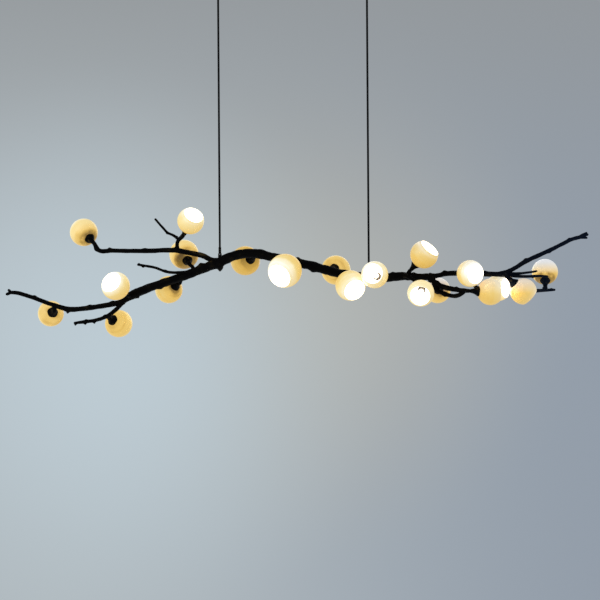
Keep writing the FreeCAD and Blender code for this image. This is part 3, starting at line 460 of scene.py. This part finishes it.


def blackened_bronze():
    """Cast bronze, blackened and waxed: near black, olive-brown where wear has bared the ridges.

    A painted highlight lightens it round the root of the upper left limb, and a painted reflection of blue
    sky turns it blue-black towards the right end.
    """
    made = Finish("blackened_bronze", Metallic=0.2, Specular_IOR_Level=0.06)
    broad, fine = made.cloud(0.030), made.cloud(0.0022, 6.0)
    # painted highlight: the bronze turns lighter olive round one spot on the upper left limb
    highlight_distance = made.node("ShaderNodeVectorMath", [(0, made.place()), (1, PAINTED_HIGHLIGHT_SPOT)],
                       operation="DISTANCE").outputs["Value"]
    painted_highlight = made.node("ShaderNodeMapRange", [(0, highlight_distance), (1, 0.080), (2, 0.020), (3, 0.0), (4, 1.0)])
    # ridges and clouds are wear and tone; the last term is the painted highlight
    wear_and_highlight = made.sum((made.mark("ridge"), 0.30), (broad, 0.55), (fine, 0.25), (painted_highlight.outputs[0], 0.16))
    bronze = made.ramp(wear_and_highlight, [(0.30, linear(4, 3, 4)), (0.54, linear(8, 7, 6)),
                              (0.68, linear(28, 22, 11)), (0.82, linear(66, 53, 27))])
    # painted reflection of blue sky: the base colour turns blue-black towards the right end
    along = made.node("ShaderNodeSeparateXYZ", [(0, made.place())]).outputs["X"]
    painted_sky_reflection = made.node("ShaderNodeMapRange", [(0, along), (1, 0.55), (2, 0.98), (3, 0.0), (4, 0.8)])
    made.feed("Base Color", made.mix(painted_sky_reflection.outputs[0], bronze, linear(14, 26, 46)))
    made.feed("Roughness", made.ramp(made.sum((broad, 0.5), (fine, 0.5)), [(0.3, 0.46), (0.7, 0.70)]))
    made.bump(made.sum((fine, 0.5), (made.cloud(0.0075), 0.9)), 0.0011, 0.9)
    return made.material


def blackened_fittings():
    """Turned brass, blackened, with a hint of the metal showing in the turning marks."""
    made = Finish("dark_fittings", Metallic=0.4, Specular_IOR_Level=0.12)
    rings = made.cloud(0.0012, 2.0, made.place((1, 1, 4)))
    blotch = made.cloud(0.006)
    made.feed("Base Color", made.ramp(blotch, [(0.42, linear(6, 6, 5)), (0.74, linear(30, 25, 15))]))
    made.feed("Roughness", made.ramp(rings, [(0.3, 0.34), (0.7, 0.52)]))
    made.bump(rings, 0.00012, 0.6)
    return made.material


def black_enamel(name, darkest, dusty, coat):
    """Satin black enamel with faint orange peel and a little dust."""
    made = Finish(name, Coat_Weight=coat, Coat_Roughness=0.25, Specular_IOR_Level=coat)
    peel, dust = made.cloud(0.0016, 2.0), made.cloud(0.05, 6.0)
    made.feed("Base Color", made.ramp(dust, [(0.35, darkest), (0.75, dusty)]))
    made.feed("Roughness", made.ramp(made.sum((peel, 0.4), (dust, 0.6)), [(0.3, 0.30), (0.7, 0.46)]))
    made.bump(peel, 0.00006, 0.7)
    return made.material


def zinc_plate():
    """Zinc-plated steel with spangle and brushed marks."""
    made = Finish("zinc_steel", Metallic=1.0)
    spangle = made.node("ShaderNodeTexVoronoi", [("Vector", made.place()), ("Scale", 260.0)]).outputs["Color"]
    brushed = made.cloud(0.0008, 3.0, made.place((0.06, 1, 1)))
    grey = made.mix(0.25, made.ramp(brushed, [(0.3, linear(176, 178, 182)), (0.7, linear(206, 208, 210))]),
                    spangle)
    made.feed("Base Color", made.mix(0.8, grey, linear(192, 195, 198)))
    made.feed("Roughness", made.ramp(brushed, [(0.3, 0.26), (0.7, 0.44)]))
    made.bump(brushed, 0.00005, 0.6)
    return made.material


def moulded(name, dark, light, rough, grain):
    """A moulded finish: two close colours in clouds over a fine even grain."""
    made = Finish(name, Specular_IOR_Level=0.4)
    cloud, fine = made.cloud(0.012, 5.0), made.cloud(grain, 2.0)
    made.feed("Base Color", made.ramp(cloud, [(0.35, dark), (0.68, light)]))
    made.feed("Roughness", made.ramp(fine, [(0.3, rough - 0.07), (0.7, rough + 0.07)]))
    made.bump(fine, grain * 0.12, 0.6)
    return made.material


def bright_brass():
    """Plain brass, a little tarnished."""
    made = Finish("brass_stud", Metallic=1.0)
    cloud = made.cloud(0.004)
    made.feed("Base Color", made.ramp(cloud, [(0.35, linear(176, 136, 72)), (0.7, linear(214, 178, 104))]))
    made.feed("Roughness", made.ramp(cloud, [(0.3, 0.22), (0.7, 0.4)]))
    made.bump(made.cloud(0.0009), 0.00005, 0.5)
    return made.material


def frosted_bulb():
    """A frosted capsule, lit: warm white, a little brighter in its middle."""
    made = Finish("frosted_bulb", Base_Color=(1, 0.96, 0.88, 1), Roughness=0.5, Emission_Strength=3.0)
    made.feed("Emission Color", made.ramp(made.cloud(0.006), [(0.3, linear(255, 244, 222)),
                                                              (0.7, linear(255, 252, 244))]))
    made.bump(made.cloud(0.0007), 0.00004, 0.5)
    return made.material


# how each globe's painted glow differs from the plain one: share of cream, share of deep amber, share of
# painted sky reflection on top
TINTS = {1: (0.30, 0, 0), 2: (0.20, 0, 0), 3: (0.12, 0, 0), 4: (0.10, 0, 0), 5: (0.25, 0, 0), 7: (0, 0.10, 0),
         8: (0, 0.50, 0), 10: (0.05, 0, 0), 12: (0.15, 0, 0), 13: (0, 0.30, 0.10), 14: (0.55, 0, 0),
         15: (0.10, 0, 0.75), 16: (0, 0, 0.25), 17: (0, 0.20, 0.35), 18: (0.30, 0, 0.20),
         19: (0, 0.30, 0.55), 20: (0.15, 0, 0.85)}
INNER_LIGHT = (5.0, 4.8, 4.3, 1)          # painted light that the inside of a lit globe sends out
LIT_SIDE = (-0.35, -0.05, 0.93)           # the side of a globe that painted light makes paler


def opal_glass(number):
    """Thick opal glass in bands about its axis, with a painted glow for the light of the bulb inside.

    Painted shade makes it dark against the calyx, then it is amber, then cream towards the mouth, and painted
    light makes it white within. Painted light makes its upper side paler and painted shade its under side
    deeper.
    """
    cream, amber, sky_reflection_share = TINTS.get(number, (0, 0, 0))
    made = Finish(f"opal_glass_{number:02d}", Roughness=0.36, Coat_Weight=0.12, Coat_Roughness=0.3,
                  Specular_IOR_Level=0.3, Emission_Strength=0.74)
    mouthward, cloud = made.mark("mouthward"), made.cloud(0.045, 2.0)
    place = made.node("ShaderNodeCombineXYZ", [("X", made.sum((mouthward, 2.6))),
                                               ("Y", made.sum((cloud, 0.9))),
                                               ("Z", 1.7 * number)]).outputs[0]
    band = made.cloud(1.0, 2.0, place)
    # painted light and shade: how far each point faces LIT_SIDE
    facing = made.node("ShaderNodeNewGeometry").outputs["Normal"]
    facing_light = made.node("ShaderNodeVectorMath", [(0, facing), (1, LIT_SIDE)],
                       operation="DOT_PRODUCT").outputs["Value"]
    level = made.node("ShaderNodeMath", [(0, made.sum((mouthward, 0.43), (cloud, 0.30), (band, 0.50),
                                                      (facing_light, 0.07))), (1, 0.10)],
                      operation="ADD").outputs[0]
    # painted glow of the bulb's light through the glass; its darkest stops are painted shade against the
    # calyx
    glow = made.ramp(level, [(0.045, linear(66, 50, 24)), (0.09, linear(120, 94, 46)),
                             (0.15, linear(204, 166, 84)), (0.23, linear(232, 194, 104)),
                             (0.36, linear(237, 202, 116)), (0.48, linear(238, 209, 130)),
                             (0.60, linear(241, 219, 152)), (0.70, linear(248, 234, 188)),
                             (0.78, linear(253, 246, 218)), (0.84, (1.2, 1.15, 1.0, 1))])
    if cream:
        share = made.node("ShaderNodeMapRange", [(0, level), (1, 0.14), (2, 0.36), (3, 0.0), (4, cream)])
        glow = made.mix(share.outputs[0], glow, linear(252, 238, 192))
    # painted shade: deeper amber on the under side, away from LIT_SIDE
    share = made.node("ShaderNodeMapRange", [(0, facing_light), (1, 0.1), (2, -0.9), (3, amber), (4, amber + 0.45)])
    lit = made.mix(share.outputs[0], glow, linear(206, 164, 68))
    # painted reflection of pale sky on the tops of some globes
    if sky_reflection_share:
        height = made.node("ShaderNodeSeparateXYZ", [(0, made.place())]).outputs["Z"]
        middle = LIGHTS[number - 1].centre[2] * MM
        share = made.node("ShaderNodeMapRange", [(0, height), (1, middle - 0.006), (2, middle + 0.034),
                                                 (3, 0.0), (4, sky_reflection_share)]).outputs[0]
        lit = made.mix(share, lit, linear(222, 229, 242))
    # the painted glow feeds both the base colour and the emission; the inside gets the painted inner light
    made.feed("Base Color", made.mix(0.5, lit, linear(150, 116, 60)))
    made.feed("Emission Color", made.mix(made.mark("within"), lit, INNER_LIGHT))
    made.bump(made.sum((cloud, 0.7), (made.cloud(0.006), 0.3)), 0.0008, 0.5)
    return made.material


def plain_floor():
    """A plain pale floor with the faintest cloudiness."""
    made = Finish("pale_floor", Roughness=0.7, Emission_Color=linear(226, 230, 233), Emission_Strength=0.22)
    made.feed("Base Color", made.ramp(made.cloud(0.6), [(0.3, linear(226, 230, 233)),
                                                        (0.7, linear(232, 235, 238))]))
    return made.material


# ------------------------------------------------------------------ the cast branch
BRONZE = blackened_bronze()


def finish_piece(piece, material, body, *nodes, slot):
    """Gives a piece its finish and its body, and hides the CAD nodes it stands for."""
    piece.data.materials.append(material)
    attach(piece, body)
    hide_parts(*nodes)


for light in LIGHTS:
    if light.limb is not None:
        light.limb.extend(into_calyx(light, CALYX_NECK))

CASTINGS = {
    "trunk": [(TRUNK, 1, 0, [((-316, 0, -962), 7, 9), ((60, -8, -992), 4, 10), ((-450, 2, -1046), 4, 9),
                             ((330, 0, -1000), 4, 8), ((-110, -6, -922), 3, 12), ((400, 2, -1000), 4, 8),
                             ((-250, 0, -976), 7, 13)])],
    "left_limb": [(LEFT_LIMB, 2, 13, [((-764, 4, -1128), 6.5, 5), ((-690, 8, -1100), 3, 8),
                                      ((-870, -6, -1068), 3, 6), ((-615, 10, -1086), 3, 8)]),
                  ([(-950, -15, -1057, 5.6), (-960, -17, -1061, 5.2), (-967, -18, -1064, 4.5)], 21, 0, []),
                  ([(-950, -15, -1056, 5.2), (-956, -16, -1050, 4.5), (-959, -17, -1045, 3.6)], 22, 0, [])],
    "lower_left_twig": [(LOWER_LEFT_TWIG, 3, 10, [((-672, -4, -1164), 5.5, 4), ((-702, -8, -1170), 5, 4),
                                                  ((-700, -8, -1150), 2.5, 5), ((-735, -13, -1172), 5, 4),
                                                  ((-640, 0, -1132), 2.5, 5)])],
    "upper_left_limb": [(UPPER_LEFT_LIMB, 4, 12, [((-618, -24, -908), 4.5, 6), ((-664, -26, -915), 4, 7),
                                                  ((-394, -12, -908), 4, 9), ((-500, -16, -912), 2.5, 9)])],
    "right_limb": [(RIGHT_LIMB, 5, 11, [((503, 0, -994), 3.5, 7), ((640, 4, -996), 2.5, 8),
                                        ((700, 5, -997), 4, 9)])],
    "lower_right_limb": [(LOWER_RIGHT_LIMB, 6, 10, [((483, -8, -1030), 3, 6), ((540, -40, -1049), 3, 6)])],
    "long_right_twig": [(LONG_RIGHT_TWIG, 7, 8, [((777, 14, -955), 3, 6), ((864, 26, -935), 2.5, 6),
                                                 ((930, 34, -886), 2.5, 6)]),
                        ([(962, 38, -884, 5.4), (980, 40, -873, 4.2), (994, 42, -866, 3.0)], 23, 0, []),
                        ([(962, 38, -884, 5.0), (982, 40, -884, 4.0), (995, 42, -885, 3.2)], 24, 0, [])],
    "lower_right_strand": [(LOWER_RIGHT_STRAND, 8, 8, [((501, -14, -1082), 2.5, 6)])],
}
for node, limbs in CASTINGS.items():
    columns = 40 if node == "trunk" else 30
    piece = gathered(f"cast_{node}", [cast_limb(route, seed, collar, buds, columns=columns)
                                      for route, seed, collar, buds in limbs])
    finish_piece(piece, BRONZE, "branch", node, slot="blackened_bronze")

TWIGS = [(TOP_TWIG, 11, 5, [((-425, -38, -866), 2, 4)]),
         (MIDDLE_LEFT_TWIG, 12, 12, [((-507, -24, -979), 3.4, 4), ((-519, -22, -962), 2.4, 3.5),
                                     ((-430, -26, -985), 2, 5)]),
         (UPPER_SIDE_TWIG, 13, 8, []), (LOWER_SIDE_TWIG, 14, 8, [((800, -8, -1024), 2, 4)]),
         (BACK_TWIG, 15, 8, [((868, 24, -1052), 2, 4)])]
twigs = gathered("cast_small_twigs", [cast_limb(route, seed, collar, buds, columns=22, step=1.5)
                                      for route, seed, collar, buds in TWIGS])
finish_piece(twigs, BRONZE, "branch", "small_twigs", slot="blackened_bronze")

spurs = []
for number, light in enumerate(LIGHTS, 1):
    if light.limb is None:
        route = [(*place, SPUR) for place in light.spur] + into_calyx(light, SPUR + 0.3)
        spurs.append(cast_limb(route, 30 + number, 9, (), columns=26, step=1.5, rough=1.3))
finish_piece(gathered("cast_spurs", spurs), BRONZE, "branch", "shade_spurs", slot="blackened_bronze")

calyxes = gathered("flared_calyxes", [flared_calyx(number, light) for number, light in enumerate(LIGHTS, 1)])
finish_piece(calyxes, BRONZE, "branch", "calyxes", slot="blackened_bronze")

for number, light in enumerate(LIGHTS, 1):
    finish_piece(globe(number, light), opal_glass(number), "branch", f"shade_{number:02d}", slot="opal_glass")

# ------------------------------------------------------------------ finishes of the fittings that stay
FITTINGS = {
    blackened_fittings(): ["hanger_lugs", "finial_nuts", "rod_ferrule_left", "rod_ferrule_right",
                           "retaining_rings"],
    black_enamel("canopy_enamel", linear(12, 12, 13), linear(27, 26, 25), 0.35): ["canopy_cover"],
    black_enamel("rod_enamel", linear(5, 5, 5), linear(15, 13, 11), 0.06):
        ["hanger_rod_left", "hanger_rod_right"],
    zinc_plate(): ["ceiling_plate", "swivel_brackets", "gimbal_ring_left", "gimbal_ring_right",
                   "rod_eye_left", "rod_eye_right", "cover_screws", "plate_screws", "sway_pin_left",
                   "sway_pin_right", "lug_pins"],
    moulded("lead_sheath", linear(20, 20, 21), linear(40, 39, 38), 0.5, 0.0008):
        ["branch_harness", "canopy_leads", "rod_lead_left", "rod_lead_right"],
    frosted_bulb(): ["bulbs"],
    # painted shade: the lampholders are darkened so that they read as the shadowed gap round each bulb
    moulded("holder_ceramic", linear(30, 28, 25), linear(44, 41, 36), 0.6, 0.0007): ["lampholders"],
    moulded("grommet_rubber", linear(22, 22, 22), linear(42, 41, 40), 0.7, 0.0006): ["cable_grommet"],
    moulded("driver_case", linear(222, 222, 218), linear(236, 236, 232), 0.45, 0.0009): ["led_driver"],
    moulded("terminal_plastic", linear(226, 222, 208), linear(240, 237, 226), 0.4, 0.0007):
        ["terminal_block"],
    bright_brass(): ["earth_stud"],
}
for material, names in FITTINGS.items():
    for name in names:
        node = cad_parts[name]
        node.data.materials.clear()
        node.data.materials.append(material)

# ------------------------------------------------------------------ room, light and camera
FLOOR_HEIGHT, FLOOR_RADIUS, FLOOR_CORNERS = -2600.0, 2200.0, 96
floor_angle = np.arange(FLOOR_CORNERS) * 2 * math.pi / FLOOR_CORNERS
floor_ring = np.stack([np.cos(floor_angle) * FLOOR_RADIUS, np.sin(floor_angle) * FLOOR_RADIUS,
                       np.full(FLOOR_CORNERS, FLOOR_HEIGHT)], -1)
floor = put_mesh("floor", floor_ring, [list(range(FLOOR_CORNERS))])
floor.data.materials.append(plain_floor())

scene = bpy.context.scene
scene.view_settings.view_transform = "Standard"
world = bpy.data.worlds.new("pale_room")
world.use_nodes = True
scene.world = world
sky = world.node_tree
background = sky.nodes["Background"]


def sky_node(kind, links=(), **settings):
    """A new node of the room's backdrop."""
    return joined_node(sky, kind, links, settings)


def spread(value, start, finish):
    """Nought at start and one at finish, eased between them."""
    return sky_node("ShaderNodeMapRange", [(0, value), (1, start), (2, finish), (3, 0.0), (4, 1.0)],
                    interpolation_type="SMOOTHSTEP").outputs[0]


def sky_mix(share, first, second):
    """Two colours of the backdrop mixed by a share."""
    return sky_node("ShaderNodeMix", [(0, share), (6, first), (7, second)], data_type="RGBA").outputs[2]


def towards(right, up):
    """The direction from the camera that is so many degrees right and up of straight ahead."""
    r, u = math.radians(right), math.radians(up)
    return (math.sin(r) * math.cos(u), math.cos(r) * math.cos(u), math.sin(u))


sight = sky_node("ShaderNodeTexCoord").outputs["Generated"]
across = sky_node("ShaderNodeSeparateXYZ", [(0, sight)])


def away_from(right, up):
    """The angle between the line of sight and a direction from the camera."""
    cosine = sky_node("ShaderNodeVectorMath", [(0, sight), (1, towards(right, up))],
                      operation="DOT_PRODUCT")
    return sky_node("ShaderNodeMath", [(0, cosine.outputs["Value"])], operation="ARCCOSINE").outputs[0]


# the backdrop is uneven: paler and bluer to the left, warmer in the middle, painted shade towards the top and
# a painted pool of pale light left of the middle
plain = sky_mix(spread(across.outputs["X"], -0.18, 0.24), linear(176, 185, 190), linear(147, 157, 169))
warmed = sky_mix(spread(away_from(0, 0), math.radians(12), 0.0), plain, linear(176, 178, 174))
shaded = sky_mix(spread(across.outputs["Z"], -0.02, 0.30), warmed, linear(146, 150, 153))
painted_light_pool = sky_mix(spread(away_from(-8, -2.5), math.radians(13), 0.0), shaded, linear(189, 203, 211))
sky.links.new(painted_light_pool, background.inputs["Color"])
background.inputs["Strength"].default_value = 1.0


def soft_light(name, place, aim, width, watts, colour):
    """A square area light aimed at a place."""
    lamp = bpy.data.lights.new(name, "AREA")
    lamp.shape, lamp.size, lamp.energy, lamp.color = "SQUARE", width, watts, colour
    holder = bpy.data.objects.new(name, lamp)
    holder.location = place
    x, y, z = np.array(aim, float) - np.array(place, float)
    holder.rotation_euler = (math.atan2(math.hypot(x, y), -z), 0, math.atan2(y, x) - math.pi / 2)
    scene.collection.objects.link(holder)


BRANCH_MIDDLE = (0, 0, -1.0)
soft_light("window_light", (-2.6, -2.4, 0.4), BRANCH_MIDDLE, 2.2, 26, (0.93, 0.96, 1.0))
soft_light("fill_light", (2.8, -2.0, -0.4), BRANCH_MIDDLE, 2.4, 12, (1.0, 0.97, 0.93))
soft_light("back_light", (0.6, 2.8, -0.2), BRANCH_MIDDLE, 2.0, 12, (0.92, 0.95, 1.0))

SENSOR_WIDTH, FOCAL_LENGTH = 36.0, 82.14
CAMERA_PLACE = (0.0181, -4.6, -1.0886)
CAMERA_ROLL = 0.4                         # degrees about the line of sight
camera_data = bpy.data.cameras.new("photo_camera")
camera_data.sensor_width, camera_data.lens = SENSOR_WIDTH, FOCAL_LENGTH
camera_data.clip_end = 50.0
camera = bpy.data.objects.new("photo_camera", camera_data)
camera.location = CAMERA_PLACE
camera.rotation_euler = (math.radians(90), math.radians(CAMERA_ROLL), 0)
scene.collection.objects.link(camera)
scene.camera = camera
